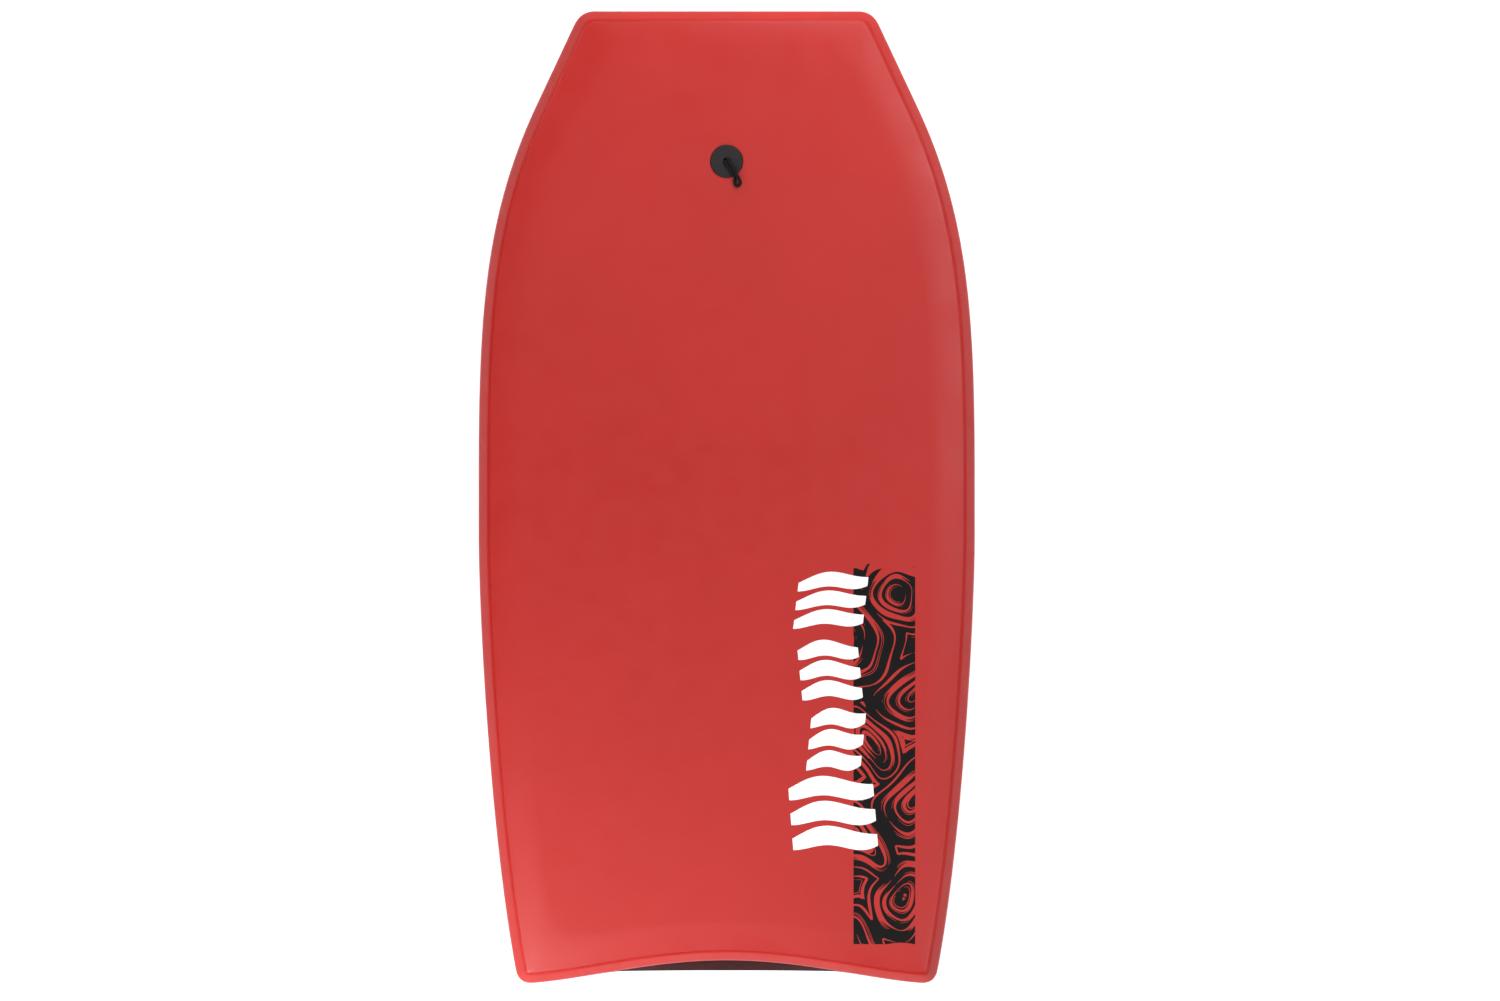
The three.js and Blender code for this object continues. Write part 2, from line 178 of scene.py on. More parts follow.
# Print on the deck
PANEL_LEFT = 0.1358
PANEL_RIGHT = 0.2019
PANEL_BOTTOM = -0.4771
PANEL_TOP = -0.0697
WORN_LENGTH = 0.02  # the ink breaks up towards the panel's top end
WORN_DEPTH = 0.004
BLACK_INK = 0.00007  # thickness of the ink layers
WHITE_INK = 0.00013
INK_ROOT = 0.0003  # how deep the ink's closed underside lies in the deck

# How finely the board is drawn
STATIONS = 1200  # points round the outline
OUTLINE_LENGTH = 2.9  # roughly
SPINE_FRONT = 0.275  # each outline point looks inward to a centre line between these
SPINE_BACK = -0.295

# ---- Camera ----


def look_down():
    """The camera looks straight down from far above, with the nose up in the picture."""
    distance = 6
    seen_width = 1.606
    middle_x, middle_y = 0.025, -0.002
    data = bpy.data.cameras.new("camera")
    data.sensor_width = 36
    data.lens = data.sensor_width * distance / seen_width
    data.clip_end = 50
    camera = bpy.data.objects.new("camera", data)
    camera.location = (middle_x, middle_y, distance + THICKNESS)
    bpy.context.scene.collection.objects.link(camera)
    bpy.context.scene.camera = camera


look_down()

# ---- Meshes ----

DECIMALS = 7  # points that agree to this many decimals are one point
SHARP_DEGREES = 40  # edges that turn more than this are drawn sharp


def welded(vertices, faces):
    """Merges points that coincide, and drops the faces that collapse."""
    _, first, merged = np.unique(
        np.round(vertices, DECIMALS), axis=0, return_index=True, return_inverse=True
    )
    kept = []
    for face in merged.reshape(-1)[np.asarray(faces)]:
        corners = list(dict.fromkeys(face.tolist()))
        if len(corners) > 2:
            kept.append(corners)
    return vertices[first], kept


def new_object(name, vertices, faces, sharp_degrees=SHARP_DEGREES):
    """A smooth-shaded mesh object facing outward, with sharp edges over that angle."""
    mesh = bpy.data.meshes.new(name)
    mesh.from_pydata([tuple(v) for v in vertices], [], faces)
    solid = bmesh.new()
    solid.from_mesh(mesh)
    bmesh.ops.recalc_face_normals(solid, faces=solid.faces)
    solid.to_mesh(mesh)
    solid.free()
    mesh.shade_smooth()
    mesh.set_sharp_from_angle(angle=math.radians(sharp_degrees))
    piece = bpy.data.objects.new(name, mesh)
    bpy.context.scene.collection.objects.link(piece)
    return piece


def row_faces(rows, width, joined):
    """Quads between rows of a closed loop each; joined also stitches the last row to the first."""
    row = np.arange(rows if joined else rows - 1)[:, None]
    step = np.arange(width)[None, :]
    here = row * width
    after = ((row + 1) % rows) * width
    side = (step + 1) % width
    return np.stack([here + step, after + step, after + side, here + side], -1).reshape(-1, 4)


def loops_object(name, rows, ends="none", sharp_degrees=SHARP_DEGREES):
    """Stitches rows (row, point, 3) into a closed surface. ends: "join", "cap" or "none"."""
    rows = np.asarray(rows)
    count, width = rows.shape[:2]
    vertices, faces = welded(rows.reshape(-1, 3), row_faces(count, width, ends == "join"))
    if ends == "cap":
        lookup = {tuple(v): k for k, v in enumerate(np.round(vertices, DECIMALS))}
        for row in (rows[0], rows[-1]):
            faces.append([lookup[tuple(v)] for v in np.round(row, DECIMALS)])
    return new_object(name, vertices, faces, sharp_degrees)


def cut(piece, *tools):
    """Cuts closed tool objects out of a piece, and removes them."""
    for tool in tools:
        modifier = piece.modifiers.new("cut", "BOOLEAN")
        modifier.object = tool
        modifier.operation = "DIFFERENCE"
        modifier.solver = "EXACT"
    graph = bpy.context.evaluated_depsgraph_get()
    mesh = bpy.data.meshes.new_from_object(piece.evaluated_get(graph))
    piece.modifiers.clear()
    piece.data = mesh
    mesh.shade_smooth()
    mesh.set_sharp_from_angle(angle=math.radians(SHARP_DEGREES))
    for tool in tools:
        bpy.data.objects.remove(tool)
    return piece


# ---- Plan of the board ----


def bezier(controls, steps):
    """Points along a Bezier curve of any degree."""
    share = np.linspace(0, 1, steps)[:, None]
    points = [np.array(c, float) for c in controls]
    while len(points) > 1:
        points = [(1 - share) * a + share * b for a, b in zip(points, points[1:])]
    return points[0]


def evenly(points, count):
    """count points at even distances along a closed line."""
    closed = np.vstack([points, points[:1]])
    run = np.concatenate([[0], np.cumsum(np.linalg.norm(np.diff(closed, axis=0), axis=1))])
    places = np.linspace(0, run[-1], count, endpoint=False)
    return np.stack([np.interp(places, run, closed[:, k]) for k in (0, 1)], 1)


def nose_side(y):
    """The straight side of the nose at that y."""
    return (NOSE_HALF_WIDTH + NOSE_LEAN * (HALF_LENGTH - y), y)


def tail_side(y):
    """The straight side of the tail at that y."""
    return (TAIL_HALF_WIDTH + TAIL_LEAN * (HALF_LENGTH + y), y)


def plan_outline(count):
    """The outline at its widest line, from the middle of the nose end round by the right."""
    nose_start = (NOSE_HALF_WIDTH - NOSE_CORNER_CUT, HALF_LENGTH)
    nose_end = nose_side(HALF_LENGTH - NOSE_CORNER_CUT)
    side_start = nose_side(NOSE_SIDE_END)
    nose_handle = nose_side(NOSE_SIDE_END - NOSE_HANDLE)
    front_handle = (HALF_WIDTH, WIDEST_FROM + FRONT_HANDLE)
    back_handle = (HALF_WIDTH, WIDEST_TO - BACK_HANDLE)
    tail_handle = tail_side(TAIL_HANDLE - HALF_LENGTH)
    tail_start = tail_side(TAIL_CORNER_CUT - HALF_LENGTH)
    tail_end = (TAIL_HALF_WIDTH - TAIL_CORNER_CUT, -HALF_LENGTH)
    curves = [
        [(0, HALF_LENGTH), nose_start],
        [nose_start, (NOSE_HALF_WIDTH, HALF_LENGTH), nose_end],
        [nose_end, side_start],
        [side_start, nose_handle, front_handle, (HALF_WIDTH, WIDEST_FROM)],
        [(HALF_WIDTH, WIDEST_FROM), (HALF_WIDTH, WIDEST_TO)],
        [(HALF_WIDTH, WIDEST_TO), back_handle, tail_handle, tail_start],
        [tail_start, (TAIL_HALF_WIDTH, -HALF_LENGTH), tail_end],
        [tail_end, (0, -HALF_LENGTH)],
    ]
    right = np.vstack([bezier(curve, 400)[:-1] for curve in curves])
    left = right[:0:-1] * (-1, 1)
    return evenly(np.vstack([right, [(0, -HALF_LENGTH)], left]), count)


outline = plan_outline(STATIONS)
spine = np.stack([0 * outline[:, 0], np.clip(outline[:, 1], SPINE_BACK, SPINE_FRONT)], 1)


def depth_table():
    """How deep inside the outline each point of the lines from outline to spine lies."""
    edge = plan_outline(12 * STATIONS)
    tree = KDTree(len(edge))
    for k, (x, y) in enumerate(edge):
        tree.insert((x, y, 0), k)
    tree.balance()
    steps = 48
    crowding = 1.6  # draws the steps together near the outline
    shares = np.linspace(0, 1, steps) ** crowding
    depths = np.zeros((STATIONS, len(shares)))
    for i in range(STATIONS):
        for j, share in enumerate(shares):
            x, y = outline[i] + share * (spine[i] - outline[i])
            depths[i, j] = tree.find((x, y, 0))[2]
    return shares, np.maximum.accumulate(depths, axis=1)


depth_shares, depths = depth_table()


def softened(ring, reach):
    """Rounds the corners of a ring by averaging each point with its neighbours."""
    if reach < 1:
        return ring
    offsets = np.arange(-3 * reach, 3 * reach + 1)
    weights = np.exp(-0.5 * (offsets / reach) ** 2)
    weights /= weights.sum()
    return sum(w * np.roll(ring, -k, axis=0) for k, w in zip(offsets, weights))


ring_cache = {}


def ring(inset):
    """The line that lies that far inside the outline; infinity gives the spine."""
    if inset == math.inf:
        return spine
    if inset not in ring_cache:
        share = np.array([np.interp(inset, depths[i], depth_shares) for i in range(STATIONS)])
        points = outline + share[:, None] * (spine - outline)
        softer_inward = 400  # stations of softening for each metre past the deck's edge
        most = 12
        reach = int(min(most, max(0, (inset - DECK_EDGE_INSET) * softer_inward)))
        ring_cache[inset] = softened(points, reach)
    return ring_cache[inset]


# ---- Heights ----


def smooth_step(value, low, high):
    """0 at low and 1 at high, with a level start and end."""
    share = np.clip((value - low) / (high - low), 0, 1)
    return share * share * (3 - 2 * share)


def bottom_height(y):
    """Height of the underside, which the rocker lifts towards the nose."""
    return ROCKER * (np.maximum(0, y - ROCKER_FROM) / (HALF_LENGTH - ROCKER_FROM)) ** 2


def thickness_share(y):
    """How much of its full thickness the board has there."""
    share = np.maximum(0, y - THINNING_FROM) / (HALF_LENGTH - THINNING_FROM)
    return 1 - NOSE_THINNING / THICKNESS * share**2


def scoop_pull(x, y, height):
    """How far the tail's crescent pulls a point forward: not at all at the underside."""
    across = np.minimum(1, np.abs(x) / SCOOP_HALF_SPAN)
    crescent = np.maximum(0, np.cos(math.pi / 2 * across)) ** SCOOP_SHAPE
    fade = 1 - smooth_step(y, -HALF_LENGTH, SCOOP_REACH - HALF_LENGTH)
    return SCOOP_DEPTH * crescent * fade * np.clip(height / WIDEST_HEIGHT, 0, 1)


def board_points(plan, height):
    """Points of the board from places in plan and a height in the section."""
    x = plan[:, 0]
    y = plan[:, 1] + scoop_pull(x, plan[:, 1], height)
    return np.stack([x, y, bottom_height(y) + height * thickness_share(y)], 1)


def deck_roll(inset):
    """Height of the deck in the section, rolled down towards its edge."""
    share = min(1, max(0, (inset - DECK_EDGE_INSET) / (ROLL_END - DECK_EDGE_INSET)))
    return DECK_EDGE_HEIGHT + (THICKNESS - DECK_EDGE_HEIGHT) * math.sin(share * math.pi / 2)


def layer_object(name, section):
    """A layer over the whole board, with an [inset, height] section from spine to spine."""
    return loops_object(name, [board_points(ring(i), h) for i, h in section])


# ---- Foam strips ----


def rounded(corners, steps=5):
    """A closed outline of (x, y, radius) corners with each corner rounded."""
    points = np.array([c[:2] for c in corners], float)
    line = []
    for k, (_, _, radius) in enumerate(corners):
        here = points[k]
        before = points[k - 1] - here
        after = points[(k + 1) % len(points)] - here
        start = here + before * min(0.45, radius / np.linalg.norm(before))
        end = here + after * min(0.45, radius / np.linalg.norm(after))
        line.extend(bezier([start, here, end], steps))
    return line


def at_height(y_wanted):
    """The station, with its fraction, where the right side of the outline passes that y."""
    side = outline[: STATIONS // 2, 1]
    return float(np.interp(-y_wanted, -side, np.arange(STATIONS // 2)))


END_GAP = 0.5 * HAIRLINE * STATIONS / OUTLINE_LENGTH  # in stations
NOSE_JOIN = at_height(NOSE_JOIN_Y)
TAIL_JOIN = at_height(TAIL_JOIN_Y)
RUNS = {
    "right": (NOSE_JOIN + END_GAP, TAIL_JOIN - END_GAP),
    "left": (STATIONS - TAIL_JOIN + END_GAP, STATIONS - NOSE_JOIN - END_GAP),
    "nose": (END_GAP - NOSE_JOIN, NOSE_JOIN - END_GAP),
    "tail": (TAIL_JOIN + END_GAP, STATIONS - TAIL_JOIN - END_GAP),
}


def strip_object(name, section, run):
    """A foam strip along a run of stations, with its ends slightly rounded."""
    start, end = run
    places = [start, *range(math.floor(start) + 1, math.ceil(end)), end]
    places = np.array(places, float)
    low = np.floor(places).astype(int)
    share = (places - low)[:, None]
    columns = []
    for inset, height in section:
        points = board_points(ring(inset), height)
        columns.append(points[low % STATIONS] * (1 - share) + points[(low + 1) % STATIONS] * share)
    rows = np.stack(columns, 1)
    for end_row, inner in ((0, 1), (-1, -2)):
        middle = rows[end_row].mean(0)
        rows[inner] = rows[end_row]
        rows[end_row] = middle + (rows[end_row] - middle) * (1 - 2 * HAIRLINE / RAIL_DEPTH)
    return loops_object(name, rows, "cap", 50)


def upper_section():
    """The upper strip: from the widest line up the bevel to the deck's edge, and under the skin."""
    skin_foot = deck_roll(DECK_EDGE_INSET) - SKIN
    tucked = deck_roll(RAIL_TOP_INSET) - SKIN
    below_skin = 0.0003
    shoulder = (DECK_EDGE_INSET - 0.0018, DECK_EDGE_HEIGHT - 0.0004, 0.0036)
    crease = (DECK_EDGE_INSET, DECK_EDGE_HEIGHT - 0.00005, 0.0002)
    return rounded([
        (0, WIDEST_HEIGHT + HAIRLINE, 0.0004),
        (BLUNT_INSET, WIDEST_HEIGHT + BLUNT_RISE, 0.003),
        shoulder,
        crease,
        (DECK_EDGE_INSET, skin_foot - below_skin, HIDDEN_ROUND),
        (RAIL_TOP_INSET, tucked - below_skin, HIDDEN_ROUND),
        (RAIL_DEPTH, WIDEST_HEIGHT + HAIRLINE, HIDDEN_ROUND),
    ])


def lower_section():
    """The lower strip: from the edge of the slick up to the widest line."""
    floor = SLICK + SLICK_GAP
    foot = (BOTTOM_EDGE_INSET + 0.0004, floor, HIDDEN_ROUND)
    turn_up = (BOTTOM_EDGE_INSET - 0.0014, floor + 0.0016, 0.0014)
    return rounded([
        foot,
        turn_up,
        (BLUNT_INSET, WIDEST_HEIGHT - BLUNT_RISE, 0.003),
        (0, WIDEST_HEIGHT - HAIRLINE, 0.0004),
        (RAIL_DEPTH, WIDEST_HEIGHT - HAIRLINE, HIDDEN_ROUND),
        (RAIL_TOP_INSET, floor, HIDDEN_ROUND),
    ])


# ---- Plug frame ----

# Its origin is the middle of the plug on the deck, and its z leans with the plug
turn_joint = next(j for j in frame["joints"] if j["name"] == "plug_turn")
plug_axis = Vector(turn_joint["axis"]).normalized()
plug_matrix = Matrix.Translation(turn_joint["pos_m"]) @ Matrix((
    (1, 0, 0, 0),
    (0, plug_axis.z, plug_axis.y, 0),
    (0, -plug_axis.y, plug_axis.z, 0),
    (0, 0, 0, 1),
))
plug_place = np.array(turn_joint["pos_m"])
BOTTOM_Z = -THICKNESS * float(thickness_share(plug_place[1])) * plug_axis.z


def in_board(points):
    """Points given in the plug's frame, in the board's."""
    points = np.asarray(points, float)
    turn = np.array(plug_matrix.to_3x3())
    return points @ turn.T + plug_place


def turned_object(name, rings, segments=96, sharp_degrees=35):
    """A piece turned about the plug's axis from a closed list of (radius, z, wave) rings.
    A wave makes the ring part of a thread."""
    angle = np.linspace(0, 2 * math.pi, segments, endpoint=False)
    rows = []
    for radius, z, *wave in rings:
        reach = radius + (wave[0] if wave else 0) * np.cos(2 * math.pi * z / PITCH - angle)
        row = np.stack([reach * np.cos(angle), reach * np.sin(angle), 0 * angle + z], 1)
        rows.append(in_board(row))
    return loops_object(name, rows, "join", sharp_degrees)


ON_AXIS = 1e-5  # radius that stands in for the axis in a turned piece with no hole


def plug_cylinder(radius, low, high):
    """A cutting cylinder about the plug's axis."""
    rings = [(ON_AXIS, low), (radius, low), (radius, high), (ON_AXIS, high)]
    return turned_object("tool", rings)


# ---- Board pieces ----


def skin_insets():
    """Close together over the deck's roll, wider over the flat."""
    roll = DECK_EDGE_INSET + (ROLL_END - DECK_EDGE_INSET) * np.linspace(0.03, 1, 14)
    return [*roll, *np.arange(0.06, 0.22, 0.02), math.inf]


def deck_skin():
    """The foam sheet over the whole deck, with a hole and a seat for the plug."""
    edge = [
        (DECK_EDGE_INSET + HAIRLINE, DECK_EDGE_HEIGHT - SKIN),
        (DECK_EDGE_INSET + HAIRLINE, DECK_EDGE_HEIGHT - 0.0004),
        (DECK_EDGE_INSET + 0.00014, DECK_EDGE_HEIGHT - 0.0002),
        (DECK_EDGE_INSET + 0.0003, DECK_EDGE_HEIGHT - 0.00004),
    ]
    top = [(i, deck_roll(i)) for i in skin_insets()]
    under = [(i, deck_roll(i) - SKIN) for i in (RAIL_TOP_INSET, 0.032, ROLL_END, 0.12, math.inf)]
    skin = layer_object("deck_foam_skin", [*top[::-1], *edge[::-1], *under])
    bore = plug_cylinder(NUT_RADIUS + BORE_CLEARANCE, -SKIN - CLEAR_AWAY, CLEAR_AWAY)
    return cut(skin, bore, plug_cylinder(SEAT_RADIUS, -SEAT_DEPTH, CLEAR_AWAY))


def bottom_slick():
    """The hard sheet under the board, with a hole for the plug's flange."""
    insets = [*np.arange(0.03, 0.22, 0.02), math.inf]
    edge = [
        (BOTTOM_EDGE_INSET + 0.0001, SLICK),
        (BOTTOM_EDGE_INSET, SLICK - 0.0002),
        (BOTTOM_EDGE_INSET + 0.0002, 0.0002),
        (BOTTOM_EDGE_INSET + 0.0005, 0),
    ]
    section = [*[(i, SLICK) for i in insets[::-1]], *edge, *[(i, 0) for i in insets]]
    slick = layer_object("slick_sheet", section)
    return cut(slick, plug_cylinder(SEAT_RADIUS, BOTTOM_Z - CLEAR_AWAY, BOTTOM_Z + CLEAR_AWAY))


# Each strip's run, section and material
RAIL_PIECES = {
    "upper_rail_right": ("right", upper_section, "rail_foam"),
    "upper_rail_left": ("left", upper_section, "rail_foam"),
    "nose_bumper": ("nose", upper_section, "rail_foam"),
    "tail_bumper": ("tail", upper_section, "rail_foam"),
    "lower_rail_right": ("right", lower_section, "rail_foam"),
    "lower_rail_left": ("left", lower_section, "rail_foam"),
    "lower_nose_strip": ("nose", lower_section, "rail_foam"),
    # The lower tail strip gets a near-black maroon: painted shade for the tail's end
    "lower_tail_strip": ("tail", lower_section, "tail_foam"),
}

# ---- Plug pieces ----


def fillet(corner, before, after, steps=5):
    """A rounded corner between two [radius, z] points near it."""
    return [tuple(p) for p in bezier([before, corner, after], steps)]


def thread(middle):
    """Rings of one thread: a rounded wave that climbs one pitch a turn."""
    rings = []
    for z in np.arange(THREAD_TOP, THREAD_BOTTOM - 1e-9, -PITCH / 12):
        fade = min(1, (THREAD_TOP - z) / PITCH * 2, (z - THREAD_BOTTOM) / PITCH * 2)
        rings.append((middle, z, THREAD_WAVE * fade))
    return rings


def plug_deck_half():
    """A domed disc with a hole for the cord, on a hollow barrel with an outer thread."""
    hole, rim, top = CORD_HOLE_RADIUS, FLANGE_RADIUS, FLANGE_TOP
    root = THREAD_RADIUS - THREAD_WAVE
    dome = [(r, top - 0.0003 * (r / rim) ** 2) for r in np.linspace(0.0062, 0.0162, 8)]
    mouth = fillet((hole, top), (hole, top - 0.0009), (hole + 0.0009, top))
    edge = fillet((rim, top - 0.0004), (0.0165, top - 0.0003), (rim, top - 0.0013), 7)
    foot = fillet((root, FLANGE_UNDERSIDE), (root + 0.0006, FLANGE_UNDERSIDE), (root, -0.0008))
    barrel = fillet((root, BARREL_END), (root, BARREL_END + 0.0004), (root - 0.0004, BARREL_END))
    return turned_object("plug_cap", [
        *mouth,
        *dome,
        *edge,
        (rim, FLANGE_UNDERSIDE + 0.0001),
        (rim - 0.0001, FLANGE_UNDERSIDE),
        *foot,
        (root, THREAD_TOP + 0.0005),
        *thread(THREAD_RADIUS),
        *barrel,
        (CHAMBER_RADIUS + 0.0004, BARREL_END),
        (CHAMBER_RADIUS, BARREL_END + 0.0004),
        (CHAMBER_RADIUS, CHAMBER_TOP - 0.0005),
        (CHAMBER_RADIUS - 0.0005, CHAMBER_TOP),
        (hole + 0.0003, CHAMBER_TOP),
        (hole, CHAMBER_TOP + 0.0003),
    ])


def slot_tool():
    """A round-ended bar that cuts the coin slot in the bottom flange."""
    length, width, depth = COIN_SLOT
    arc = np.linspace(-math.pi / 2, math.pi / 2, 13)
    end = np.stack([np.cos(arc), np.sin(arc)], 1) * width / 2 + (length / 2 - width / 2, 0)
    loop = np.vstack([end, -end])
    levels = [BOTTOM_Z - depth, BOTTOM_Z + depth]
    rows = [in_board(np.column_stack([loop, np.full(len(loop), z)])) for z in levels]
    return loops_object("tool", rows, "cap")


def plug_bottom_half():
    """A closed flange flush with the bottom, on a barrel with an inner thread."""
    bore = THREAD_RADIUS + THREAD_CLEARANCE + THREAD_WAVE
    under, floor = BOTTOM_Z, BOTTOM_Z + NUT_FLOOR
    rim, wall = FLANGE_RADIUS, NUT_RADIUS
    edge = fillet((rim, under), (rim - 0.0008, under), (rim, under + 0.0008))
    mouth = fillet((wall, NUT_TOP), (wall, NUT_TOP - 0.0006), (wall - 0.0006, NUT_TOP))
    cup = turned_object("plug_nut", [
        (ON_AXIS, under),
        (0.008, under),
        (0.014, under),
        *edge,
        (rim, floor - 0.0006),
        (rim - 0.0003, floor - 0.0003),
        (wall + 0.0003, floor - 0.0003),
        (wall, floor),
        *mouth,
        (bore + 0.0006, NUT_TOP),
        (bore, NUT_TOP - 0.0006),
        (bore, THREAD_TOP + 0.0005),
        *thread(THREAD_RADIUS + THREAD_CLEARANCE),
        (bore, THREAD_BOTTOM - 0.0005),
        (bore, floor + 0.0005),
        (bore - 0.0005, floor),
        (ON_AXIS, floor),
    ])
    return cut(cup, slot_tool())


def plug_seal():
    """The flat rubber ring under the disc."""
    low, high = SEAL_BOTTOM, SEAL_TOP
    corners = [
        (SEAL_INNER, high, 0.0003),
        (SEAL_OUTER, high, 0.0003),
        (SEAL_OUTER, low, 0.0003),
        (SEAL_INNER, low, 0.0003),
    ]
    return turned_object("plug_washer", rounded(corners))


# ---- Cord ----


def spline(points, steps):
    """A smooth line through the points (Catmull-Rom)."""
    points = np.array(points, float)
    padded = np.vstack([2 * points[0] - points[1], points, 2 * points[-1] - points[-2]])
    t = np.linspace(0, 1, steps, endpoint=False)[:, None]
    line = []
    for a, b, c, d in zip(padded, padded[1:], padded[2:], padded[3:]):
        curve = 2 * b + (c - a) * t + (2 * a - 5 * b + 4 * c - d) * t**2
        line.append(0.5 * (curve + (3 * b - a - 3 * c + d) * t**3))
    return np.vstack([*line, points[-1:]])


def resampled(line, spacing):
    """The same line with points at even distances."""
    run = np.concatenate([[0], np.cumsum(np.linalg.norm(np.diff(line, axis=0), axis=1))])
    places = np.linspace(0, run[-1], round(run[-1] / spacing) + 1)
    return np.stack([np.interp(places, run, line[:, k]) for k in range(3)], 1), places


def cord_route():
    """The doubled cord from the knot up through the hole, round the eye and back, in the
    plug's frame. Along is the way it leaves the hole, aside is to its left."""
    half = STRAND_SPACING / 2
    back = CORD_BEND - BEND_END
    low = CORD_HEIGHT - CORD_BEND
    straight = 0.0022  # of each strand below the bend

    def rise(aside):
        strand = [(-back, aside, low - straight)]
        for turn in np.radians([0, 22, 45, 68]):
            along = CORD_BEND * (1 - np.cos(turn)) - back
            strand.append((along, aside, low + CORD_BEND * np.sin(turn)))
        return strand

    eye = np.array([
        (8, 1.9, 4), (11, 1.8, 4.7), (13.5, 1.2, 6.1), (16, 0.5, 7), (18.9, 0.2, 6.8),
        (21.8, 0, 5.3), (25, -0.5, 3.4), (27.3, -1.9, 2.4), (28.4, -3.8, 2.1), (27.9, -5.9, 2.1),
        (26, -7, 2.1), (24, -6.5, 2.1), (21.6, -4.6, 2.4), (19.1, -2.5, 3), (16, -2.1, 3.8),
        (12, -1.95, 3.9), (8, -1.9, 3.9),
    ]) / MILLIMETRES
    return [
        *rise(half),
        (LOOP_START, half, CORD_HEIGHT),
        *eye,
        (LOOP_START, -half, CORD_HEIGHT),
        *rise(-half)[::-1],
    ]


def turned_to_azimuth(points):
    """Turns points so that along becomes the way the cord lies on the disc."""
    turn = np.array(Matrix.Rotation(CORD_AZIMUTH, 3, "Z"))
    return np.asarray(points) @ turn.T


def tube_rows(line, radius_at, segments, closed=False):
    """Circles about a line, carried along it without twist."""
    if closed:
        ahead = np.roll(line, -1, axis=0) - np.roll(line, 1, axis=0)
    else:
        ahead = np.gradient(line, axis=0)
    ahead /= np.linalg.norm(ahead, axis=1)[:, None]
    side = np.cross(ahead[0], (0.2, 0.3, 0.93))
    angle = np.linspace(0, 2 * math.pi, segments, endpoint=False)[:, None]
    rows = []
    for k, (point, tangent) in enumerate(zip(line, ahead)):
        side = side - tangent * side.dot(tangent)
        side /= np.linalg.norm(side)
        ring_points = np.cos(angle) * side + np.sin(angle) * np.cross(tangent, side)
        rows.append(point + ring_points * radius_at(k, angle))
    return rows


def cord_loop():
    """The braided cord, its bundles of yarn crossing in relief."""
    spacing = 0.00028
    line, run = resampled(spline(turned_to_azimuth(cord_route()), 16), spacing)
    middle_radius = CORD_DIAMETER / 2 - BRAID_SINK

    def radius_at(k, angle):
        turn = 2 * math.pi * run[k] / BRAID_PITCH
        bundles = np.maximum(np.cos(4 * angle + turn), np.cos(4 * angle - turn))
        return middle_radius + BRAID_RELIEF * bundles

    rows = [in_board(row) for row in tube_rows(line, radius_at, 40)]
    piece = loops_object("leash_cord", rows, "cap", 180)
    path = in_board(line[::4])
    return piece, [tuple(p) for p in path]


def stopper_knot():
    """An overhand knot: a tube along a trefoil."""
    t = np.linspace(0, 2 * math.pi, 220, endpoint=False)
    reach = KNOT_REACH + KNOT_SWING * np.cos(3 * t)
    height = KNOT_Z + KNOT_RISE * np.sin(3 * t)
    line = np.stack([reach * np.cos(2 * t), reach * np.sin(2 * t), height], 1)

    def radius_at(k, angle):
        return KNOT_CORD_RADIUS + KNOT_RELIEF * np.cos(4 * angle + k * 0.5)

    rows = [in_board(row) for row in tube_rows(line, radius_at, 24, closed=True)]
    return loops_object("leash_stopper_knot", rows, "join", 180)


# ---- Print on the deck ----

FOLDS = [(0.0065, 0.12), (0.0026, 0.052)]  # size and length of the marbling's two ripples
# Eyes of the marbling: how far across and up the panel, and how wide each one spreads
EYES = [
    (0.80, 0.93, 0.80), (-0.25, 0.78, 1.35), (1.15, 0.66, 1.00), (0.28, 0.53, 0.62),
    (1.10, 0.385, 1.10), (0.05, 0.27, 0.95), (0.80, 0.13, 0.90), (-0.10, -0.02, 1.00),
]
# Bare lines round an eye: radius and half width in metres
BARE_LINES = [
    (0.0098, 0.0004), (0.0128, 0.0011), (0.0150, 0.0003), (0.0215, 0.0013), (0.0242, 0.0003),
    (0.0320, 0.0015), (0.0350, 0.0004), (0.0364, 0.0003), (0.0455, 0.0009), (0.0560, 0.0015),
    (0.0600, 0.0004), (0.0700, 0.0012),
]


def marble_radius(x, y):
    """A distance that rings each eye and folds where their rings meet, like poured ink."""
    for k, (size, length) in enumerate(FOLDS):
        turn = 2 * math.pi / length
        drift = size * np.sin(turn * y + 1.7 * k + 0.6)
        y = y + size * np.sin(1.3 * turn * x - 0.9 * k + 2.1)
        x = x + drift
    nearest = np.full_like(x, 9)
    blur = 0.0007
    for k, (across, up, spread) in enumerate(EYES):
        east = x - PANEL_LEFT - across * (PANEL_RIGHT - PANEL_LEFT)
        north = y - PANEL_BOTTOM - up * (PANEL_TOP - PANEL_BOTTOM)
        lobes = 1 + 0.13 * np.sin(2 * np.arctan2(north, east) + 2.3 * k)
        distance = np.hypot(east, north) * lobes / spread + 0.0024 * (k % 3)
        nearest = -blur * np.logaddexp(-nearest / blur, -distance / blur)
    return nearest


def ink_margin(x, y, step):
    """How far each point lies inside the black ink, in metres; below zero the deck is bare.
    The bare lines swell and thin along their way."""
    radius = marble_radius(x, y)
    slope = np.maximum(np.hypot(*np.gradient(radius, step)), 0.5)
    swell = 1 + 0.9 * np.sin(71 * x + 58 * y) * np.sin(43 * y - 57 * x + 1)
    margin = np.full_like(x, 1)
    for level, half_width in BARE_LINES:
        margin = np.minimum(margin, np.abs(radius - level) / slope - half_width * swell)
    worn = np.clip(1 - (PANEL_TOP - y) / WORN_LENGTH, 0, 1) ** 1.5
    margin = margin - WORN_DEPTH * worn
    sides = np.minimum(x - PANEL_LEFT, PANEL_RIGHT - x)
    return np.minimum(margin, np.minimum(sides, np.minimum(y - PANEL_BOTTOM, PANEL_TOP - y)))


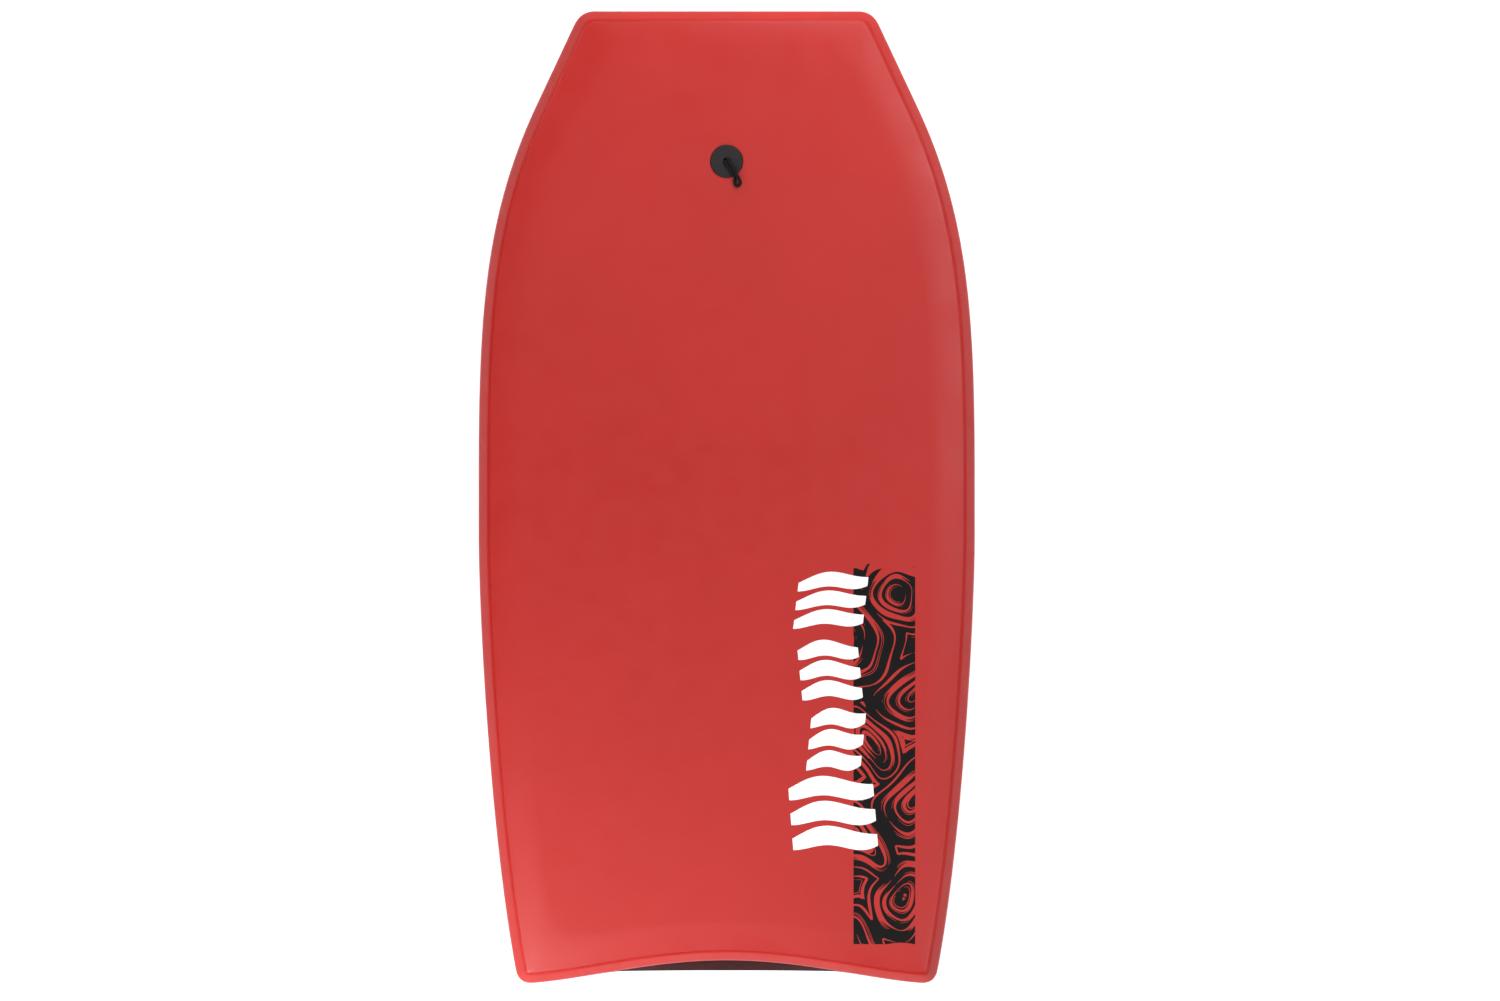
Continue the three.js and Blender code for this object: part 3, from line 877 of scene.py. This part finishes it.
def contours(values):
    """Closed lines round the positive areas of a grid, as [column, row] (marching squares)."""
    inside = values > 0
    count = inside[:-1, :-1] * 1 + inside[1:, :-1] + inside[:-1, 1:] + inside[1:, 1:]
    following = {}
    for row, column in np.argwhere((count > 0) & (count < 4)).tolist():
        corners = [(row, column), (row, column + 1), (row + 1, column + 1), (row + 1, column)]
        sides = list(zip(corners, corners[1:] + corners[:1]))
        ways = [int(inside[b]) - int(inside[a]) for a, b in sides]
        for k in range(4):
            if ways[k] < 0:
                entry = next(j % 4 for j in range(k + 1, k + 4) if ways[j % 4] > 0)
                following[sides[k]] = sides[entry][::-1]
    lines = []
    while following:
        side = next(iter(following))
        line = []
        while side in following:
            (a, b), side = side, following.pop(side)
            share = values[a] / (values[a] - values[b])
            line.append((a[1] + share * (b[1] - a[1]), a[0] + share * (b[0] - a[0])))
        lines.append(np.array(line))
    return lines


def simplified(line, tolerance):
    """Leaves out the points that lie within the tolerance of a straight run."""
    if len(line) < 3:
        return line
    run = line[-1] - line[0]
    offsets = line - line[0]
    away = np.abs(run[0] * offsets[:, 1] - run[1] * offsets[:, 0]) / max(1e-9, np.hypot(*run))
    if np.hypot(*run) < 1e-9:
        away = np.hypot(offsets[:, 0], offsets[:, 1])
    far = int(np.argmax(away))
    if away[far] <= tolerance:
        return line[[0, -1]]
    halves = simplified(line[: far + 1], tolerance), simplified(line[far:], tolerance)
    return np.vstack([halves[0][:-1], halves[1]])


def signed_area(loop):
    """The area in a loop, positive when it runs anticlockwise."""
    x, y = loop.T
    return 0.5 * float(np.sum(x * np.roll(y, -1) - y * np.roll(x, -1)))


def marble_loops():
    """The outlines of the black ink, traced on a fine grid."""
    step = 0.0004
    tolerance = 0.00004
    smallest_area = 6e-7
    xs = np.arange(PANEL_LEFT - 2 * step, PANEL_RIGHT + 2.5 * step, step)
    ys = np.arange(PANEL_BOTTOM - 2 * step, PANEL_TOP + 2.5 * step, step)
    margin = ink_margin(*np.meshgrid(xs, ys), step)
    loops = []
    for line in contours(margin):
        closed = np.vstack([line, line[:1]])
        loop = simplified(closed * step + (xs[0], ys[0]), tolerance)[:-1]
        if len(loop) > 2 and abs(signed_area(loop)) > smallest_area:
            loops.append(loop)
    return loops


# White patches of waves, one over another: middle, width, height, lean and slope
PATCHES = [
    (0.1118, -0.1090, 0.0740, 0.0600, 0.12, 0.10),
    (0.1105, -0.1845, 0.0650, 0.0650, -0.10, 0.05),
    (0.1173, -0.2585, 0.0580, 0.0680, 0.10, 0.08),
    (0.1138, -0.3378, 0.0910, 0.0800, -0.08, 0.06),
]
WAVES = 3


def wave_loops(patch):
    """Bold wavy bands, one over another, that thin out to their ends."""
    x, y, width, height, lean, slope = patch
    swing = 0.055
    band_share, thinning = 0.39, 0.16  # half a band's height, and what its ends lose of it
    across = np.linspace(-0.5, 0.5, 41)
    crest = swing * np.sin(2 * math.pi * (across + 12 * x)) + slope * across
    loops = []
    for k in range(WAVES):
        middle = (k + 0.5) / WAVES - 0.5 + crest
        half = (band_share - thinning * np.abs(2 * across) ** 3) / WAVES
        up = np.concatenate([middle - half, (middle + half)[::-1]])
        along = np.concatenate([across, across[::-1]])
        loops.append(np.stack([x + along * width + lean * up * height, y + up * height], 1))
    return loops


def filled(loops):
    """Triangles that fill the loops, found in millimetres. A loop within another is a hole."""
    loops = [loop if signed_area(loop) > 0 else loop[::-1] for loop in loops]
    points = [Vector(point) for loop in loops for point in loop * MILLIMETRES]
    starts = np.cumsum([0] + [len(loop) for loop in loops])
    rings = [list(range(a, b)) for a, b in zip(starts, starts[1:])]
    points, _, triangles, _, _, around = delaunay_2d_cdt(points, [], rings, 1, 1e-5)
    inked = [list(corners) for corners, within in zip(triangles, around) if len(within) % 2]
    return np.array(points) / MILLIMETRES, inked


def ink_object(name, loops, rise, deck):
    """A thin closed layer of ink in the shape of the loops, following the deck's surface.
    Cuts across the lowest part of the panel let it bend with the deck at the tail."""
    cut_length, cut_spacing = 0.04, 0.004
    overhead = 0.2
    flat, top = filled(loops)
    count = len(flat)
    edges = {(a, b) for face in top for a, b in zip(face, face[1:] + face[:1])}
    faces = [*top, *[[k + count for k in reversed(face)] for face in top]]
    faces += [[b, a, a + count, b + count] for a, b in edges if (b, a) not in edges]
    levels = [np.column_stack([flat, np.full(count, z)]) for z in (1, 0)]
    piece = new_object(name, np.vstack(levels), faces, 30)
    solid = bmesh.new()
    solid.from_mesh(piece.data)
    for y in np.arange(PANEL_BOTTOM, PANEL_BOTTOM + cut_length, cut_spacing):
        everything = solid.verts[:] + solid.edges[:] + solid.faces[:]
        bmesh.ops.bisect_plane(solid, geom=everything, plane_co=(0, y, 0), plane_no=(0, 1, 0))
    for vertex in solid.verts:
        level = vertex.co.z
        above = Vector((vertex.co.x, vertex.co.y, overhead))
        hit = deck.ray_cast(above, Vector((0, 0, -1)))[0]
        vertex.co.z = hit.z + (rise if level > 0.5 else -INK_ROOT)
    bmesh.ops.recalc_face_normals(solid, faces=solid.faces)
    solid.to_mesh(piece.data)
    solid.free()
    return piece


# ---- Materials ----


def material(name, color, roughness, **sockets):
    """A plain material; sockets are more inputs, with _ for the spaces in their names."""
    made = bpy.data.materials.new(name)
    made.use_nodes = True
    shader = made.node_tree.nodes["Principled BSDF"]
    shader.inputs["Base Color"].default_value = (*color, 1)
    shader.inputs["Roughness"].default_value = roughness
    for socket, value in sockets.items():
        shader.inputs[socket.replace("_", " ")].default_value = value
    return made, made.node_tree, shader


def noise(tree, scale, detail=3, stretch=(1, 1, 1)):
    """Noise over the object's own coordinates."""
    place = tree.nodes.new("ShaderNodeTexCoord")
    mapping = tree.nodes.new("ShaderNodeMapping")
    mapping.inputs["Scale"].default_value = stretch
    texture = tree.nodes.new("ShaderNodeTexNoise")
    texture.inputs["Scale"].default_value = scale
    texture.inputs["Detail"].default_value = detail
    tree.links.new(place.outputs["Object"], mapping.inputs["Vector"])
    tree.links.new(mapping.outputs["Vector"], texture.inputs["Vector"])
    return texture.outputs["Fac"]


def between(tree, value, low, high, spread=(0.35, 0.65)):
    """Maps a value's middle range onto low to high."""
    node = tree.nodes.new("ShaderNodeMapRange")
    node.inputs["From Min"].default_value, node.inputs["From Max"].default_value = spread
    node.inputs["To Min"].default_value = low
    node.inputs["To Max"].default_value = high
    tree.links.new(value, node.inputs["Value"])
    return node.outputs["Result"]


def color_between(tree, value, low, high, spread=(0.35, 0.65)):
    """Maps a value's middle range onto one colour to another."""
    ramp = tree.nodes.new("ShaderNodeValToRGB")
    for stop, place, color in zip(ramp.color_ramp.elements, spread, (low, high)):
        stop.position = place
        stop.color = (*color, 1)
    tree.links.new(value, ramp.inputs["Fac"])
    return ramp.outputs["Color"]


def bumps(tree, shader, layers):
    """Chains bump layers of (height, distance in metres) onto the shader's normal."""
    normal = None
    for height, distance in layers:
        bump = tree.nodes.new("ShaderNodeBump")
        bump.inputs["Strength"].default_value = 1
        bump.inputs["Distance"].default_value = distance
        tree.links.new(height, bump.inputs["Height"])
        if normal:
            tree.links.new(normal, bump.inputs["Normal"])
        normal = bump.outputs["Normal"]
    tree.links.new(normal, shader.inputs["Normal"])


def shade(color, factor):
    """The colour, that much lighter or darker."""
    return tuple(c * factor for c in color)


def surface(name, color, roughness, mottle, relief, beads=None, **sockets):
    """A material whose colour and gloss vary a little, over layers of fine relief. mottle is
    (size, strength), relief is rows of (size, depth, stretch), and beads is (size, depth)."""
    gloss_change = 0.04
    made, tree, shader = material(name, color, roughness, **sockets)
    size, strength = mottle
    patches = noise(tree, 1 / size, 4)
    tones = shade(color, 1 - strength), shade(color, 1 + strength)
    tree.links.new(color_between(tree, patches, *tones), shader.inputs["Base Color"])
    lowest, highest = roughness - gloss_change, roughness + gloss_change
    gloss = between(tree, noise(tree, 4 / size, 3), lowest, highest)
    tree.links.new(gloss, shader.inputs["Roughness"])
    layers = [(noise(tree, 1 / size, 2, stretch), depth) for size, depth, stretch in relief]
    if beads:
        cells = tree.nodes.new("ShaderNodeTexVoronoi")
        cells.inputs["Scale"].default_value = 1 / beads[0]
        place = tree.nodes.new("ShaderNodeTexCoord")
        tree.links.new(place.outputs["Object"], cells.inputs["Vector"])
        layers.append((between(tree, cells.outputs["Distance"], 1, 0, (0, 0.6)), beads[1]))
    bumps(tree, shader, layers)
    return made


EVEN = (1, 1, 1)
LENGTHWISE = (1, 0.02, 1)
DECK_RED = (0.45, 0.0130, 0.0092)
LOOKS = {
    "deck_foam": dict(
        color=DECK_RED,
        roughness=0.42,
        mottle=(0.12, 0.02),
        relief=[(0.0011, 0.00005, EVEN), (0.004, 0.00006, EVEN), (0.09, 0.0002, EVEN)],
        Specular_IOR_Level=0.5,
    ),
    "rail_foam": dict(
        # Lifted 4% over the deck's red: painted light that evens out the shade on the rails' slope
        color=shade(DECK_RED, 1.04),
        roughness=0.42,
        mottle=(0.06, 0.03),
        relief=[(0.0009, 0.00004, EVEN), (0.012, 0.00012, EVEN)],
        Specular_IOR_Level=0.28,
    ),
    # Near-black maroon, dull and barely glossy: painted shade that stands in for the shade at the
    # tail's end
    "tail_foam": dict(
        color=(0.040, 0.008, 0.008),
        roughness=0.8,
        mottle=(0.03, 0.08),
        relief=[(0.0009, 0.00006, EVEN), (0.008, 0.0002, EVEN)],
        Specular_IOR_Level=0.05,
    ),
    "slick_film": dict(
        color=(0.010, 0.010, 0.011),
        roughness=0.22,
        mottle=(0.2, 0.1),
        relief=[(0.0008, 0.00003, LENGTHWISE), (0.12, 0.0004, EVEN)],
    ),
    "plug_plastic": dict(
        color=(0.016, 0.014, 0.014),
        roughness=0.55,
        mottle=(0.01, 0.08),
        relief=[(0.0004, 0.00003, EVEN), (0.003, 0.00004, EVEN)],
        Specular_IOR_Level=0.25,
    ),
    "seal_rubber": dict(
        color=(0.09, 0.1, 0.11),
        roughness=0.75,
        mottle=(0.01, 0.08),
        relief=[(0.0005, 0.00003, EVEN)],
    ),
    "cord": dict(
        color=(0.008, 0.006, 0.006),
        roughness=0.85,
        mottle=(0.002, 0.2),
        relief=[(0.0002, 0.00004, EVEN)],
        Specular_IOR_Level=0.15,
        Sheen_Weight=0.05,
    ),
    "core_foam": dict(
        color=(0.82, 0.80, 0.76),
        roughness=0.8,
        mottle=(0.03, 0.02),
        relief=[(0.0008, 0.00006, EVEN)],
        beads=(0.0035, 0.0003),
    ),
    "print_black": dict(
        color=(0.007, 0.006, 0.006),
        roughness=0.6,
        mottle=(0.02, 0.1),
        relief=[(0.0011, 0.00003, EVEN)],
        Specular_IOR_Level=0.12,
    ),
    "print_white": dict(
        color=(0.98, 0.98, 0.98),
        roughness=0.5,
        mottle=(0.02, 0.01),
        relief=[(0.0011, 0.00003, EVEN)],
    ),
}
materials = {slot: surface(slot, **look) for slot, look in LOOKS.items()}

# ---- Pieces ----


def finish_piece(piece, body, slot, *nodes):
    """Gives a piece its material and its body, and hides the CAD nodes it stands for."""
    piece.data.materials.clear()
    piece.data.materials.append(materials[slot])
    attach(piece, body)
    if nodes:
        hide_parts(*nodes)
    return piece


deck_piece = finish_piece(deck_skin(), "board", "deck_foam", "deck_skin")
finish_piece(bottom_slick(), "board", "slick_film", "bottom_slick")
for node, (run, section, slot) in RAIL_PIECES.items():
    finish_piece(strip_object(node + "_foam", section(), RUNS[run]), "board", slot, node)

deck_tree = BVHTree.FromObject(deck_piece, bpy.context.evaluated_depsgraph_get())
marble = ink_object("marbled_panel", marble_loops(), BLACK_INK, deck_tree)
finish_piece(marble, "board", "print_black")
for number, patch in enumerate(PATCHES, 1):
    waves = ink_object(f"white_waves_{number}", wave_loops(patch), WHITE_INK, deck_tree)
    finish_piece(waves, "board", "print_white")

finish_piece(plug_bottom_half(), "board", "plug_plastic", "plug_bottom_half")
finish_piece(plug_seal(), "seal", "seal_rubber", "plug_seal")
finish_piece(plug_deck_half(), "plug_cap", "plug_plastic", "plug_deck_half")
knot = finish_piece(stopper_knot(), "knot", "cord", "leash_knot")

loop, loop_path = cord_loop()
loop.data.materials.append(materials["cord"])
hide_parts("leash_loop")
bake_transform(loop)

core = frame["nodes"]["core"]
core.data.materials.clear()
core.data.materials.append(materials["core_foam"])

# ---- Stage ----


def floor():
    """A white floor that shines a little, so that the board hardly shades it."""
    reach = 6
    drop = 0.0005  # keeps it clear of the board's underside
    made, tree, shader = material("floor", (0.5, 0.5, 0.5), 0.9, Emission_Strength=0.75)
    shader.inputs["Emission Color"].default_value = (1, 1, 1, 1)
    corners = [(-reach, -reach, 0), (reach, -reach, 0), (reach, reach, 0), (-reach, reach, 0)]
    piece = new_object("floor", corners, [(0, 1, 2, 3)])
    piece.location.z = -drop
    piece.data.materials.append(made)


def area_light(name, place, target, size, power):
    """A round white lamp that the camera doesn't see."""
    data = bpy.data.lights.new(name, "AREA")
    data.shape = "DISK"
    data.size = size
    data.energy = power
    lamp = bpy.data.objects.new(name, data)
    lamp.location = place
    lamp.rotation_euler = (Vector(target) - Vector(place)).to_track_quat("-Z", "Y").to_euler()
    lamp.visible_camera = False
    bpy.context.scene.collection.objects.link(lamp)


def world(strength):
    """An even white surround."""
    made = bpy.data.worlds.new("studio")
    made.use_nodes = True
    background = made.node_tree.nodes["Background"]
    background.inputs["Color"].default_value = (1, 1, 1, 1)
    background.inputs["Strength"].default_value = strength
    bpy.context.scene.world = made


# Soft lights: place, the point each looks at, size across and power in watts
LIGHTS = {
    "tail_gloss": ((0.3, -1.5, 5.5), (0, -0.3, 0), 1.0, 11),
    "left_gloss": ((-1.5, -1.7, 5.5), (-0.1, -0.3, 0), 1.0, 23),
    "right_gloss": ((1.7, 0.0, 5.4), (0.1, 0.2, 0), 1.0, 13),
    "right_side": ((1.2, 0.5, 1.8), (0.2, 0.2, 0), 0.6, 9.5),
    "right_tail": ((0.9, -0.9, 0.9), (0.2, -0.4, 0), 0.6, 4),
    "left_nose": ((-1.0, 0.9, 0.7), (-0.2, 0.4, 0), 0.6, 4.5),
    "tail_low": ((-0.55, -0.95, 0.65), (-0.2, -0.4, 0), 0.6, 10.5),
    "nose_low": ((0.25, 1.05, 0.7), (0.1, 0.4, 0), 0.6, 7),
}

floor()
world(0.16)
for name, (place, target, size, power) in LIGHTS.items():
    area_light(name, place, target, size, power)
bpy.context.scene.view_settings.view_transform = "Standard"
